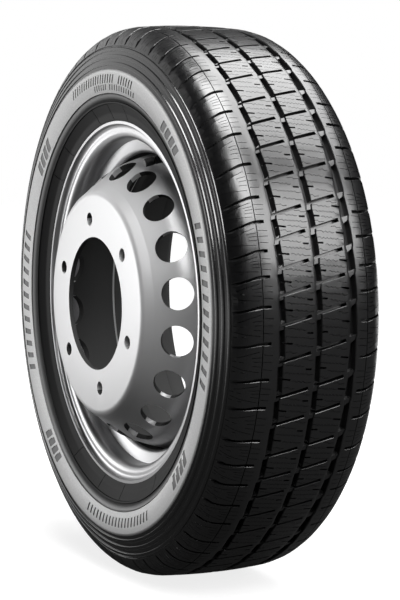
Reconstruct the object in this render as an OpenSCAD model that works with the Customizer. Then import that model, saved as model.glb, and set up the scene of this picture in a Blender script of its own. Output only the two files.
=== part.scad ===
// Van tyre mounted on a pressed steel wheel, with its snap-in valve.
// The wheel turns about the Y axis. The origin is the centre of the hub bore on the mounting
// face, the outboard side faces -Y, and +Z is up.

/* [Tyre] */
// Radius of the tread at its middle
tread_r = 336; // [330:0.5:342]
// Width of the tyre at its widest point
section_w = 204; // [200:1:208]
// Depth of the main grooves
groove_depth = 8.5; // [5:0.5:9]
// Distance of the two outer grooves from the middle one
groove_y = 45; // [44:0.2:46]
// Width of a main groove at the tread surface
groove_w = 7.4; // [6:0.2:9]
// Width of the grooves that part one block from the next
cross_w = 3.8; // [3:0.1:4.4]
// Width of the slots in the two shoulders
slot_w = 3.7; // [2.6:0.1:4.2]
// Width of the short notches in the blocks
notch_w = 2.3; // [1.6:0.1:3]
// Height of the raised rings on the upper sidewall
ring_h = 1.2; // [0.4:0.1:2]

/* [Wheel] */
// Radius of the rim's bead seats
seat_r = 202.8; // [202.4:0.1:203.2]
// Width of the rim between its flanges
rim_w = 152.4; // [150:0.1:154]
// Height of the flanges over the bead seats
flange_h = 17.5; // [16.8:0.1:18]
// Thickness of the rim's sheet
rim_t = 3.4; // [3:0.1:3.8]
// Depth of the rim's well under the bead seats
well_depth = 17.3; // [16:0.1:18]
// Distance from the mounting face to the middle of the rim
wheel_offset = 112; // [110:0.5:114]
// Thickness of the disc's plate
disc_t = 6; // [5:0.5:6.5]
// Radius of the hub bore
bore_r = 80.5; // [78:0.5:84]
// Diameter of the circle of stud holes
stud_circle = 205; // [202:1:208]
// Number of stud holes
stud_count = 6; // [5:1:8]
// Radius of each stud hole
stud_hole_r = 8.1; // [7:0.1:9]
// Number of hand holes in the disc's side wall
hand_holes = 18; // [12:1:18]
// Radius of each hand hole
hand_hole_r = 19; // [14:0.5:20]

/* [Valve] */
// Angle of the valve round the wheel, from the top towards +X
valve_angle = 22; // [0:1:360]
// Lean of the rim's wall that the valve stands square on
wall_lean = 16; // [12:0.5:18]
// Radius of the hole for the valve
valve_hole_r = 5.75; // [5.6:0.05:5.9]
// Height of the metal stem over the tyre side of the rim
stem_top = 31.8; // [30:0.2:34]

/* [Hidden] */

// Turn of the wheel as it stands: the first stud hole and the first hand hole from the top
stud_phase = -8;
hand_phase = 2;

// A line is a list of corners, each [radius, place along the axis, rounding]. round_line
// replaces every rounded corner by an arc, and side_line gives the line beside it.
function unit(v) = v / norm(v);
function flat(p) = [p[0], p[1]];
function arc_steps(turn) = max(2, ceil(abs(turn) / 15));
function round_corner(a, b, c, r) =
    let (u = unit(a - b), w = unit(c - b), half = acos(u * w) / 2)
    let (centre = b + unit(u + w) * r / sin(half), start = b + u * r / tan(half))
    let (end = b + w * r / tan(half))
    let (from = atan2(start[1] - centre[1], start[0] - centre[0]))
    let (to = atan2(end[1] - centre[1], end[0] - centre[0]))
    let (turn = (to - from + 540) % 360 - 180, steps = arc_steps(turn))
    [for (i = [0 : steps]) centre + r * [cos(from + turn * i / steps), sin(from + turn * i / steps)]];
function round_line(p) = [for (i = [0 : len(p) - 1])
    each (i == 0 || i == len(p) - 1 || p[i][2] == 0)
        ? [flat(p[i])]
        : round_corner(flat(p[i - 1]), flat(p[i]), flat(p[i + 1]), p[i][2])];
function left_of(v) = [-v[1], v[0]];
function way(p, i) = unit(flat(p[i + 1]) - flat(p[i]));
function cross_sign(u, w) = sign(u[0] * w[1] - u[1] * w[0]);
function side_line(p, t) = [for (i = [0 : len(p) - 1])
    let (u = i == 0 ? way(p, 0) : way(p, i - 1), w = i == len(p) - 1 ? u : way(p, i))
    let (m = (left_of(u) + left_of(w)) / (1 + u * w), b = flat(p[i]) + m * t)
    [b[0], b[1], p[i][2] == 0 ? 0 : p[i][2] - cross_sign(u, w) * t]];
function backwards(p) = [for (i = [len(p) - 1 : -1 : 0]) p[i]];
function sheet(p, t) = concat(round_line(p), backwards(round_line(side_line(p, t))));
function mirrored(p) = [for (q = backwards(p)) [q[0], -q[1], q[2]]];
function moved(p, y) = [for (q = p) [q[0], q[1] + y]];

// Turns an outline of [radius, place along the axis] points round the wheel's axis
module turned(points, from = 0, span = 360) {
    rotate([0, from, 0])
        rotate([-90, 0, 0])
            rotate([0, 0, -90])
                rotate_extrude(angle = span, $fn = 240)
                    polygon(points);
}

// Places what is drawn at the top of the wheel at an angle from the top
module around(angle) {
    rotate([0, angle, 0])
        children();
}

// Rim

seat_y = rim_w / 2;
flange_r = seat_r + flange_h;
lip_y = seat_y + 10.1;
well_r = seat_r - well_depth;
well_edge = -48;
valve_r = 193;
function rim_wall_y(r) = well_edge - (r - well_r) * tan(wall_lean);
// Outboard half of the rim's tyre side, from the lip over the bead seat and hump to the wall
rim_half = [
    [flange_r, -lip_y, 0], [flange_r, -seat_y, 9.5], [seat_r, -seat_y, 6.5],
    [seat_r - 1.6, -58, 0], [seat_r - 0.9, -55.8, 2]];
rim_wall = [
    [seat_r - 1.6, rim_wall_y(seat_r - 1.6), 3], [well_r, well_edge, 2.5], [well_r, -8, 14],
    [seat_r - 4, 9, 14]];
rim_line = concat(rim_half, rim_wall, mirrored(rim_half));

module valve_place() {
    around(valve_angle)
        translate([0, wheel_offset + rim_wall_y(valve_r), valve_r])
            rotate([90 + wall_lean, 0, 0])
                children();
}

module rim() {
    color("lightgray")
        difference() {
            turned(moved(sheet(rim_line, rim_t), wheel_offset));
            valve_place()
                cylinder(h = 20, r = valve_hole_r, center = true, $fn = 48);
        }
}

// Disc

hand_r = 161;
hand_y = 28;
hand_tilt = 40;
skirt_r = well_r - rim_t;
skirt_end = wheel_offset - 16;
disc_line = [
    [bore_r, -disc_t, 0], [134, -disc_t, 10], [143, 6.8, 8], [166.5, 34.8, 50],
    [176.8, 64, 40], [skirt_r, 83, 40], [skirt_r, skirt_end, 0]];

module disc() {
    color("gainsboro")
        difference() {
            turned(sheet(disc_line, disc_t));
            for (i = [0 : stud_count - 1])
                around(stud_phase + i * 360 / stud_count)
                    translate([0, 0, stud_circle / 2])
                        rotate([90, 0, 0])
                            cylinder(h = 40, r = stud_hole_r, center = true, $fn = 48);
            for (i = [0 : hand_holes - 1])
                around(hand_phase + i * 360 / hand_holes)
                    translate([0, hand_y, hand_r])
                        rotate([hand_tilt, 0, 0])
                            hand_hole();
        }
}

// A punched hole with a bevel round its outer edge
module hand_hole() {
    bevel = 1.4;
    cylinder(h = 40, r = hand_hole_r, center = true, $fn = 64);
    translate([0, 0, -bevel])
        cylinder(h = 4 * bevel, r1 = hand_hole_r, r2 = hand_hole_r + 4 * bevel, $fn = 64);
}

weld_count = 6;
weld_span = 44;
module disc_weld() {
    leg = 5;
    bead = [
        [skirt_r, skirt_end], [skirt_r, skirt_end + leg], [skirt_r - 2.2, skirt_end + 0.75 * leg],
        [skirt_r - 0.9 * leg, skirt_end + 1.4], [skirt_r - leg, skirt_end]];
    color("silver")
        for (i = [0 : weld_count - 1])
            turned(bead, stud_phase + 14 + i * 360 / weld_count, weld_span);
}

// Tyre

half_w = section_w / 2;
crown_y = 60;
// Radius of the tread at a distance from the middle
function crown(y) = tread_r - 2.4 * pow(abs(y) / crown_y, 2.2);
// Place of the plain upper sidewall at a radius
function wall_y(r) = -101 + 0.344 * (r - 282) + 0.00108 * pow(r - 282, 2);
function ring(r, w) = [
    [r - w / 2 - 0.7, wall_y(r - w / 2 - 0.7), 0], [r - w / 2, wall_y(r - w / 2) - ring_h, 0],
    [r + w / 2, wall_y(r + w / 2) - ring_h, 0], [r + w / 2 + 0.7, wall_y(r + w / 2 + 0.7), 0]];
function groove(y, w, depth) = [
    [crown(y - w / 2), y - w / 2, 0], [crown(y) - depth, y - 0.4 * w, 0],
    [crown(y) - depth, y + 0.4 * w, 0], [crown(y + w / 2), y + w / 2, 0]];
ring_places = [[288.8, 3.6], [297.6, 3.8], [306.3, 3.4]];
// Outboard bead and sidewall, from the toe of the bead to the edge of the tread
bead_line = [
    [seat_r - 1.6, -58, 0], [seat_r, -seat_y, 6.5], [flange_r, -seat_y, 9.5],
    [flange_r, -lip_y + 0.4, 0], [flange_r + 2, -lip_y - 0.4, 1], [230, -88, 8], [241.2, -94.2, 0],
    [242, -95.4, 0], [243.4, -95.6, 0], [244, -95, 0], [253.2, -98.6, 0]];
band_line = [
    [254, -99.3, 0], [259, -100.6, 0], [265, -101.6, 0], [272, -half_w, 0], [278, -101.8, 0],
    [281.6, -101.3, 0], [282.4, wall_y(282.4), 0]];
shoulder_line = [
    [310.3, wall_y(310.3), 0], [311, -92, 0], [318.6, -87.6, 0], [323, -84, 0], [327.5, -78, 0],
    [331, -71, 0], [332.3, -65.8, 0], [329.3, -65.7, 0], [329.3, -64.7, 0], [332.6, -64.6, 0]];
side_half = concat(bead_line, band_line, [for (p = ring_places) each ring(p[0], p[1])], shoulder_line);
// The middle groove stands a little inboard of the tyre's middle
tread_shift = 1.2;
tread_line = concat(
    [[crown(crown_y), -crown_y, 0]], groove(tread_shift - groove_y, groove_w, groove_depth),
    [[crown(24), -24, 0]], groove(tread_shift, groove_w, groove_depth),
    [[crown(24), 24, 0]], groove(tread_shift + groove_y, groove_w, groove_depth),
    [[crown(crown_y), crown_y, 0]]);
inner_half = [
    [318, 0, 0], [317, -40, 0], [314, -62, 20], [305, -80, 20], [290, -90.5, 20], [268, -95.5, 30],
    [250, -92, 30], [226, -72, 20], [209, -60, 4], [seat_r - 1.6, -58, 0]];
tyre_line = concat(side_half, tread_line, mirrored(side_half), mirrored(inner_half), inner_half);

// Lengths of the tread's pitches, in a mixed order that keeps the tyre quiet
PITCHES = "MMLMMLLSMSMLLMLMSMMLSMMLMLSMMLSMMLMMSLMMSLMSMLMMSLMMLSMLMSMMLM";
function pitch_share(i) = PITCHES[i] == "S" ? 0.87 : PITCHES[i] == "M" ? 1 : 1.23;
function share_before(i) = i == 0 ? 0 : share_before(i - 1) + pitch_share(i - 1);
pitch_count = len(PITCHES);
share_total = share_before(pitch_count);
first_pitch = 22.9;
function pitch_angle(i) = first_pitch + 360 * share_before(i) / share_total;
function pitch_span(i) = 360 * pitch_share(i) / share_total;
function arc(mm) = mm / tread_r * 180 / PI;

// A straight cut across the tread from [y, place round] to [y, place round]
module cut(from, to, w, depth) {
    middle = (from[1] + to[1]) / 2;
    lean = (to[1] - from[1]) / 2;
    around(arc(middle))
        translate([0, 0, crown((from[0] + to[0]) / 2) - depth])
            linear_extrude(height = depth + 6)
                polygon([
                    [-lean - w / 2, from[0]], [-lean + w / 2, from[0]],
                    [lean + w / 2, to[0]], [lean - w / 2, to[0]]]);
}

// A slot that runs over the outboard shoulder: flat on the tread, then curving round
module shoulder_slot() {
    lean = 14.5;
    bend_y = -65;
    cut([-56.6, 0], [bend_y - 1, 0], slot_w, 6.5);
    translate([0, bend_y, 0])
        rotate([0, 0, lean])
            rotate([90, 0, -90])
                linear_extrude(height = slot_w - 0.8, center = true)
                    polygon([[-1, 327], [10, 323], [19.6, 317], [27.4, 311.5], [36, 311.5], [36, 345], [-1, 345]]);
}

// Middle line of the leaning cross grooves, in mm round the tyre from the shoulder slot
function lean_line(y) = 9.7 - 0.258 * y;

module notch(from, to, rise, shift) {
    middle = lean_line((from + to) / 2) + shift;
    cut([from, middle - rise / 2], [to, middle + rise / 2], notch_w, 6);
}

module pitch_cuts(i) {
    block_half = pitch_span((i + pitch_count - 1) % pitch_count) / 2;
    cut([-46, lean_line(-46)], [-6.5, lean_line(-6.5)], cross_w, 7.5);
    cut([-0.5, lean_line(-0.5)], [40.5, lean_line(40.5)], cross_w, 7.5);
    around(-block_half) {
        notch(-41, -30.5, 1.4, 1.6);
        notch(-13, -5, 0.4, -2.2);
        notch(4.5, 14.5, 0.6, 2.2);
        notch(31.5, 40, 1, -1.6);
    }
    shoulder_slot();
    around(arc(19.5))
        rotate([0, 0, 180])
            shoulder_slot();
}

module tyre() {
    color("dimgray")
        translate([0, wheel_offset, 0])
            difference() {
                turned(round_line(tyre_line));
                for (i = [0 : pitch_count - 1])
                    around(pitch_angle(i))
                        pitch_cuts(i);
            }
}

// Valve, drawn along +Z from the tyre side of the rim's wall. The pieces of its core and its
// cap are drawn from the stem's upper end.

rubber_top = stem_top - 11;
module body_of(points) {
    rotate_extrude($fn = 64)
        polygon(points);
}

module core_place() {
    valve_place()
        translate([0, 0, stem_top])
            children();
}

module valve_body() {
    base = -4.8;
    color("#202020")
        valve_place()
            body_of([
                [3.3, base], [6, base], [6.9, -3.8], [6.9, -1.2], [6.4, 0], [valve_hole_r, 0],
                [valve_hole_r, rim_t], [7.5, rim_t], [7.5, rim_t + 1.6], [6.3, 9], [5.3, 13],
                [4.9, 16.5], [4.9, rubber_top - 0.6], [4.4, rubber_top], [3.3, rubber_top]]);
}

module valve_stem() {
    base = -4.8;
    color("goldenrod")
        valve_place()
            body_of([
                [2, base], [3.3, base], [3.3, rubber_top], [3.85, rubber_top + 0.6],
                [3.85, stem_top - 0.5], [3.4, stem_top], [2.65, stem_top],
                [2.65, stem_top - 7], [2, stem_top - 9]]);
}

// The screwed top of the core, with the two flats that a key turns
module core_plug() {
    color("gold")
        core_place()
            difference() {
                union() {
                    translate([0, 0, -5.8])
                        cylinder(h = 3.8, r = 2.65, $fn = 48);
                    translate([-2.2, -0.9, -2.4])
                        cube([4.4, 1.8, 1.8]);
                }
                translate([0, 0, -7])
                    cylinder(h = 8, r = 1.2, $fn = 32);
            }
}

module core_barrel() {
    color("khaki")
        core_place()
            body_of([
                [0.75, -18], [1.6, -18], [1.6, -6.8], [2.45, -6.8], [2.45, -5.8], [1.1, -5.8],
                [1.1, -16], [0.75, -16]]);
}

module core_gasket() {
    color("firebrick")
        core_place()
            body_of([[1.6, -8.8], [2.065, -8.8], [2.585, -7.2], [2.585, -6.8], [1.6, -6.8]]);
}

spring_low = -16;
spring_high = -8.8;
spring_turns = 7;
wire_r = 0.15;
coil_r = 0.88;
ring_points = 6;
steps_a_turn = 12;
spring_rise = (spring_high - spring_low - 2 * wire_r) / (spring_turns * steps_a_turn);
function coil_point(i, j) =
    let (a = i * 360 / steps_a_turn, b = j * 360 / ring_points)
    let (r = coil_r + wire_r * cos(b))
    [r * cos(a), r * sin(a), spring_low + wire_r + spring_rise * i + wire_r * sin(b)];
module core_spring() {
    last = spring_turns * steps_a_turn;
    points = [for (i = [0 : last]) for (j = [0 : ring_points - 1]) coil_point(i, j)];
    sides = [for (i = [0 : last - 1]) for (j = [0 : ring_points - 1])
        let (k = (j + 1) % ring_points)
        [i * ring_points + j, (i + 1) * ring_points + j, (i + 1) * ring_points + k, i * ring_points + k]];
    start = [for (j = [0 : ring_points - 1]) j];
    finish = [for (j = [ring_points - 1 : -1 : 0]) last * ring_points + j];
    color("lightsteelblue")
        core_place()
            polyhedron(points = points, faces = concat(sides, [start], [finish]));
}

module core_pin() {
    color("lemonchiffon")
        core_place()
            body_of([
                [0, -20.2], [0.48, -20.2], [0.48, -8.8], [1, -8.8], [1, -8], [0.48, -8],
                [0.48, -0.6], [0.3, -0.2], [0, -0.2]]);
}

module core_cup() {
    color("tan")
        core_place()
            body_of([[0.48, -19.8], [1.2, -19.8], [1.5, -19.5], [1.5, -18.6], [0.48, -18.6]]);
}

module core_seal() {
    color("maroon")
        core_place()
            body_of([[0.48, -18.6], [1.5, -18.6], [1.5, -18], [0.48, -18]]);
}

cap_ribs = 18;
module valve_cap() {
    color("#181818")
        core_place()
            union() {
                body_of([
                    [3.95, -10.2], [4.6, -10.2], [4.6, 1.4], [4, 2.2], [0, 2.2], [0, 0.6], [3.95, 0.6]]);
                for (i = [0 : cap_ribs - 1])
                    rotate([0, 0, i * 360 / cap_ribs])
                        translate([4.4, -0.25, -9])
                            cube([0.45, 0.5, 10]);
            }
}

module cap_seal() {
    color("#404040")
        core_place()
            body_of([[1.8, 0], [3.8, 0], [3.8, 0.6], [1.8, 0.6]]);
}

tyre();
rim();
disc();
disc_weld();
valve_body();
valve_stem();
core_plug();
core_barrel();
core_gasket();
core_spring();
core_pin();
core_cup();
core_seal();
valve_cap();
cap_seal();
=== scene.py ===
import math

import bmesh
import bpy
from mathutils import Matrix, Vector


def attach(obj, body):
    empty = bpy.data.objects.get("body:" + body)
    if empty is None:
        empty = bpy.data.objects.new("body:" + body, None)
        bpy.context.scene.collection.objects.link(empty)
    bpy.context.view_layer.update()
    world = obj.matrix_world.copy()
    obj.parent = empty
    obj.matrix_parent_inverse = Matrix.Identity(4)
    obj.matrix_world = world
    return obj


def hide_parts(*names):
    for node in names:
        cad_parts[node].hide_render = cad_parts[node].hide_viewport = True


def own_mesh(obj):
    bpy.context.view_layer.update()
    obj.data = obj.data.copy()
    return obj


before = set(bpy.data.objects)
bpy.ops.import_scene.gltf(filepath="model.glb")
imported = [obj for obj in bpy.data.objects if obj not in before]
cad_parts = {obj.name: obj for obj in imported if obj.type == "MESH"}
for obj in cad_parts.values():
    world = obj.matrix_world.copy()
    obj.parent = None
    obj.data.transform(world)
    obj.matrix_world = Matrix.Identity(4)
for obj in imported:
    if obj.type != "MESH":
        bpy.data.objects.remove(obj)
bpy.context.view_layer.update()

bl_info = {
    "name": "Van wheel builder",
    "version": (1, 0, 0),
    "blender": (4, 5, 0),
    "location": "View3D > Sidebar > Van wheel",
    "description": "Dresses the van tyre and its steel wheel: tread, sidewall, rim, disc, valve and stage",
    "category": "Object",
}

# Lengths are in mm where no unit is named. The wheel's axis is Y. A place along it, y, is measured
# from the tyre's middle, and a way round the tyre, u, on its tread
MM = 0.001
# Radius of the tread, and distance of the tyre's middle from the mounting face
TREAD_R = 336.0
MIDDLE = 112.0

# Pitches of the tread round the tyre, short, middle and long, from the first shoulder slot on
PITCHES = "MMLMMLLSMSMLLMLMSMMLSMMLMLSMMLSMMLMMSLMMSLMSMLMMSLMMLSMLMSMMLM"
SHARE = {"S": 0.87, "M": 1.0, "L": 1.23}
# Angle of the first shoulder slot in degrees, the way once round, and the length of a middle pitch
FIRST_PITCH = 22.9
TURN = 2 * math.pi * TREAD_R
UNIT = TURN / sum(SHARE[letter] for letter in PITCHES)

# Bead seats, toes of the beads, flanges and their lips
SEAT_R, SEAT_Y = 202.8, 76.2
TOE_R, TOE_Y = SEAT_R - 1.6, 58.0
FLANGE_R, LIP_Y = 220.3, 86.3
# Floor of the rim's drop centre, lean of its outboard wall, and the rim's thickness
WELL_R, WELL_Y = 185.5, 48.0
WALL_LEAN = math.radians(16)
RIM_T = 3.4

# Valve in that wall: angle round the wheel, radius of its place, radius of its hole, and its stem
VALVE_ANGLE = 22.0
VALVE_R, VALVE_HOLE_R = 193.0, 5.75
STEM_TOP = 31.8
# Low and high ends of the spring of the valve core, from the stem's top
SPRING_LOW, SPRING_HIGH = -16.0, -8.8
SPRING_TURNS, STEPS_IN_TURN = 7, 20
COIL_R, WIRE_R, WIRE_SIDES = 0.88, 0.15, 10


# Settings

class TyreSettings(bpy.types.PropertyGroup):
    groove_depth: bpy.props.FloatProperty(
        name="Groove depth", description="Depth of the main grooves", default=0.0085, unit="LENGTH")
    sipe_width: bpy.props.FloatProperty(
        name="Sipe width", description="Width of the fine cuts in the blocks", default=0.0006, unit="LENGTH")
    sipe_depth: bpy.props.FloatProperty(
        name="Sipe depth", description="Depth of the fine cuts in the blocks", default=0.004, unit="LENGTH")
    rubber: bpy.props.FloatVectorProperty(
        name="Rubber", description="Colour of the tread and the sidewalls", default=(0.004, 0.004, 0.0042),
        size=3, min=0, max=1, subtype="COLOR")
    # Band: painted sheen; the band is black rubber, and this light colour stands in for the light grey sheen
    # of its smooth face
    band: bpy.props.FloatVectorProperty(
        name="Band", description="Colour of the light ring on the outboard sidewall",
        default=(0.8, 0.8, 0.8), size=3, min=0, max=1, subtype="COLOR")


class WheelSettings(bpy.types.PropertyGroup):
    steps: bpy.props.IntProperty(
        name="Steps", description="Segments round the rim and the disc", default=216)
    hand_holes: bpy.props.IntProperty(
        name="Hand holes", description="Number of holes in the disc's side wall", default=18)
    paint: bpy.props.FloatVectorProperty(
        name="Paint", description="Colour of the disc's silver paint", default=(0.52, 0.52, 0.525),
        size=3, min=0, max=1, subtype="COLOR")
    # Painted shade: the rim's colour is the disc's silver paint darkened, to tone down the rim's flanges and
    # barrel
    rim_paint_shaded: bpy.props.FloatVectorProperty(
        name="Rim paint", description="Colour of the rim's silver paint", default=(0.36, 0.36, 0.365),
        size=3, min=0, max=1, subtype="COLOR")
    # Painted shade: a far darker colour on the wheel's inner side, for the shade inside the wheel
    inner_painted_shade: bpy.props.FloatVectorProperty(
        name="Inner paint", description="Colour of the wheel's inner side", default=(0.035, 0.035, 0.035),
        size=3, min=0, max=1, subtype="COLOR")


class StageSettings(bpy.types.PropertyGroup):
    floor: bpy.props.FloatVectorProperty(
        name="Floor", description="Colour of the floor", default=(0.25, 0.25, 0.25),
        size=3, min=0, max=1, subtype="COLOR")
    glow: bpy.props.FloatProperty(
        name="Floor's glow", description="How bright the floor looks by itself near the wheel", default=0.82)
    room: bpy.props.FloatProperty(
        name="Room", description="Brightness of the room round the stage", default=0.004)
    top: bpy.props.FloatProperty(
        name="Top light", description="Brightness of the soft box over the wheel", default=15.0)
    back: bpy.props.FloatProperty(
        name="Back light", description="Brightness of the soft box over the inboard side", default=6.5)
    tail: bpy.props.FloatProperty(
        name="Tail light", description="Brightness of the soft box beside the tread", default=7.5)
    side: bpy.props.FloatProperty(
        name="Side light", description="Brightness of the soft box at the camera's side", default=12.0)
    front: bpy.props.FloatProperty(
        name="Front light", description="Brightness of the soft box before the disc", default=3.3)


# Shapes

def turned_arc(a, b, c, radius, step):
    """Points of the rounding at corner b of the line a-b-c, one for each step in degrees."""
    u, w = (a - b).normalized(), (c - b).normalized()
    half = u.angle(w) / 2
    centre = b + (u + w).normalized() * (radius / math.sin(half))
    start = b + u * (radius / math.tan(half)) - centre
    end = b + w * (radius / math.tan(half)) - centre
    turn = start.angle_signed(end)
    steps = max(2, math.ceil(abs(turn) / math.radians(step)))
    points = []
    for i in range(steps + 1):
        angle = -turn * i / steps
        turned = Vector((
            start.x * math.cos(angle) - start.y * math.sin(angle),
            start.x * math.sin(angle) + start.y * math.cos(angle)))
        points.append(centre + turned)
    return points


def rounded(corners, step=30.0):
    """A line of [radius, place along the axis, rounding] corners with arcs at its roundings."""
    flat = [Vector(c[:2]) for c in corners]
    line = []
    for i, corner in enumerate(corners):
        if corner[2] == 0 or i in (0, len(corners) - 1):
            line.append(flat[i])
        else:
            line += turned_arc(flat[i - 1], flat[i], flat[i + 1], corner[2], step)
    return line


def beside(corners, gap):
    """The line that runs beside a line of corners, to its left, at a distance."""
    result = []
    last = len(corners) - 1
    for i, corner in enumerate(corners):
        here = Vector(corner[:2])
        before = (here - Vector(corners[i - 1][:2])).normalized() if i else None
        after = (Vector(corners[i + 1][:2]) - here).normalized() if i < last else before
        before = before or after
        left = [Vector((-way.y, way.x)) for way in (before, after)]
        place = here + (left[0] + left[1]) * (gap / (1 + before.dot(after)))
        bend = before.x * after.y - before.y * after.x
        radius = corner[2] - math.copysign(gap, bend) if corner[2] else 0
        result.append((place.x, place.y, radius))
    return result


def sheet_outline(corners, thickness):
    return rounded(corners, 10.0) + rounded(beside(corners, thickness), 10.0)[::-1]


def mirrored(corners):
    return [(r, -y, radius) for r, y, radius in reversed(corners)]


def round_wheel(angle):
    return Matrix.Rotation(math.radians(angle), 4, "Y")


def on_ring(angle, y, r, tilt):
    """A place at an angle in degrees round the wheel, tilted in radians about the way round."""
    return (
        round_wheel(angle) @ Matrix.Translation(Vector((0, MIDDLE + y, r)) * MM)
        @ Matrix.Rotation(tilt, 4, "X"))


def lathe(outline, steps):
    """A closed body: an outline of (radius, place along the axis) points, spun about the wheel's axis."""
    body = bmesh.new()
    verts = [body.verts.new((0, (y + MIDDLE) * MM, r * MM)) for r, y in outline]
    edges = [body.edges.new(pair) for pair in zip(verts, verts[1:] + verts[:1])]
    bmesh.ops.spin(
        body, geom=verts + edges, cent=(0, 0, 0), axis=(0, 1, 0), dvec=(0, 0, 0),
        angle=math.radians(360), steps=steps, use_merge=True, use_duplicate=False)
    bmesh.ops.recalc_face_normals(body, faces=body.faces)
    return body


def drill(bm, place, low_r, high_r, length, segments):
    """Adds a round cutter, straight or tapered, to a set of cutters."""
    bmesh.ops.create_cone(
        bm, cap_ends=True, segments=segments, radius1=low_r * MM, radius2=high_r * MM, depth=length * MM,
        matrix=place)


def meshed(name, bm):
    """A new mesh with what a bmesh holds, which is given up."""
    mesh = bpy.data.meshes.new(name)
    bm.to_mesh(mesh)
    bm.free()
    return mesh


def linked(name, data):
    """A new object in the scene with a mesh, a lamp or a camera."""
    obj = bpy.data.objects.new(name, data)
    bpy.context.scene.collection.objects.link(obj)
    return obj


def dressed(name, mesh, material, smooth=30.0):
    """A piece with its material, smooth but for the edges over an angle in degrees."""
    mesh.shade_smooth()
    mesh.set_sharp_from_angle(angle=math.radians(smooth))
    mesh.materials.clear()
    mesh.materials.append(material)
    return linked(name, mesh)


def piece(name, bm, material, smooth=30.0):
    """A piece made of what a bmesh holds, its faces all turned to one side."""
    bmesh.ops.recalc_face_normals(bm, faces=bm.faces)
    return dressed(name, meshed(name, bm), material, smooth)


def belongs(obj, body, node):
    """Attaches a piece to the body it moves with, and hides the node that it stands for."""
    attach(obj, body)
    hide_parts(node)


def carved(name, body, cutters):
    """Takes each set of cutters from a closed body and gives the mesh that is left."""
    obj = linked(name, meshed(name, body))
    tools = []
    for i, cutter in enumerate(cutters):
        bmesh.ops.recalc_face_normals(cutter, faces=cutter.faces)
        tool_name = f"{name}_tool_{i}"
        tool = linked(tool_name, meshed(tool_name, cutter))
        modifier = obj.modifiers.new(tool_name, "BOOLEAN")
        modifier.operation = "DIFFERENCE"
        modifier.solver = "MANIFOLD"
        modifier.object = tool
        tools.append(tool)
    graph = bpy.context.evaluated_depsgraph_get()
    result = bpy.data.meshes.new_from_object(obj.evaluated_get(graph))
    for used in [obj] + tools:
        mesh = used.data
        bpy.data.objects.remove(used)
        bpy.data.meshes.remove(mesh)
    return result


# Tyre

# The crown falls by CROWN_DROP from the tread's middle to the shoulders, which start at CROWN_END
CROWN_END, CROWN_DROP, CROWN_POWER = 60, 2.4, 2.2
# Outline of the shoulder, (y, radius)
SHOULDER = [(60, 333.6), (64.6, 332.6), (71, 331), (78, 327.5), (83.5, 323.3), (88, 318.4), (92, 311),
            (96, 303)]
# Outline of the outboard sidewall, (radius, distance from the tyre's middle)
SIDE = [(221, 86.5), (230, 88.4), (241, 94), (253.2, 98.4), (253.9, 99.4), (259, 100.7), (266, 101.8),
        (274, 102), (279.5, 101.7), (283, 100.7)]
# Inner edge of the recess inside the light band, edges of the band, and the radius on which a way
# round the sidewall is measured
RECESS_LOW = 243.9
BAND_LOW, BAND_HIGH = 253.8, 283.0
BAND_R = 270.0
# The plain sidewall over the band follows a parabola through this point
UPPER_R, UPPER_Y = 282, -101
UPPER_SLOPE, UPPER_CURVE = 0.344, 0.00108
# Raised rings on it, (radius, width), how far they stand out, and the width of a ring's foot
RINGS = ((288.8, 3.6), (297.6, 3.8), (306.3, 3.4))
RING_RISE, RING_FOOT = 1.3, 0.5

# How far a cutter stands over the rubber that it cuts
OVER = 1.2
# Edges of each main groove over one pitch, the left and the right one: y and u where the edge
# starts, with u from the slot before, and y and u where it ends, with u from the slot here
GROOVES = (
    ((-46.9, 26.3, -45.1, 20.3), (-40.6, 24.8, -38.9, 15.8)),
    ((-1.3, 16.3, -0.2, 10.6), (5.2, 15.2, 6.1, 6.4)),
    ((42.7, 4.0, 41.2, -2.5), (49.8, -0.4, 51.0, -5.0)))
# Levels of a main groove from its chamfers down to its tie bars, and of its deep stretches but for
# their floor, as trench takes them
GROOVE_LEVELS = [(0.5, 3.4, 1.1), (-0.7, 0, 0), (-2.0, -0.3, -0.3)]
DEEP_START = (-1.2, -0.1, -0.1)
# Steps of a deep stretch's sides at its floor, and how far its ends stay from the tie bars
DEEP_TAPER, DEEP_INSET = -0.9, 0.3
# Cross grooves of a pitch: places of their points, and half widths, depth, chamfer and taper
CROSS_GROOVES = ((-45.3, -34, -20, -7.6), (-0.8, 8, 22, 36.5))
CROSS_HALVES, CROSS_DEPTH, CROSS_CHAMFER, CROSS_TAPER = [1.7, 1.7, 1.8, 1.9], 7.5, 0.35, 0.3
# Notches in the blocks, (y of both ends, way round between them, shift), half width, depth, taper
NOTCHES = ((-41, -30.6, 1.4, 1.5), (-12.9, -5.6, 0.4, -2.2))
NOTCH_HALF, NOTCH_DEPTH, NOTCH_TAPER = 1.1, 6, 0.2
# Shoulder slot: its line, half widths and depths at the points, chamfer and taper
SLOT = [(-55.8, 0), (-66, 0.1), (-72, 1.3), (-78, 2.9), (-84, 4.5), (-91.7, 6.5)]
SLOT_HALVES = [1.65, 1.7, 1.5, 1.35, 1.3, 1.3]
SLOT_DEPTHS = [6.3, 6.3, 6.3, 6.2, 5.6, 0.6]
SLOT_CHAMFER, SLOT_TAPER = 0.25, 0.2
# Way round from a slot's start in one shoulder to its start in the other
SHOULDER_TURN = 19.5
# Sipes of a block: y of both ends, rank in the block, straight lengths at the ends, and teeth
BLOCK_SIPES = (
    (-38.6, -3.6, 0, 3.5, 5, 6), (-37.5, -15, -1.02, 7, 2, 3), (-28.5, -5, 1.02, 2, 6, 3),
    (-38.2, -25, 1.95, 5, 4, 1), (-17.5, -4, -1.9, 5, 4, 1))
# Middle of the row of blocks, share of a pitch between two ranks, slope and shift of the sipes, and
# how far a tooth goes to each side
BLOCK_Y, RANK_SHARE, SIPE_SLOPE, SIPE_SHIFT, TOOTH = -21, 0.215, 0.09, -0.6, 0.95
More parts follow.
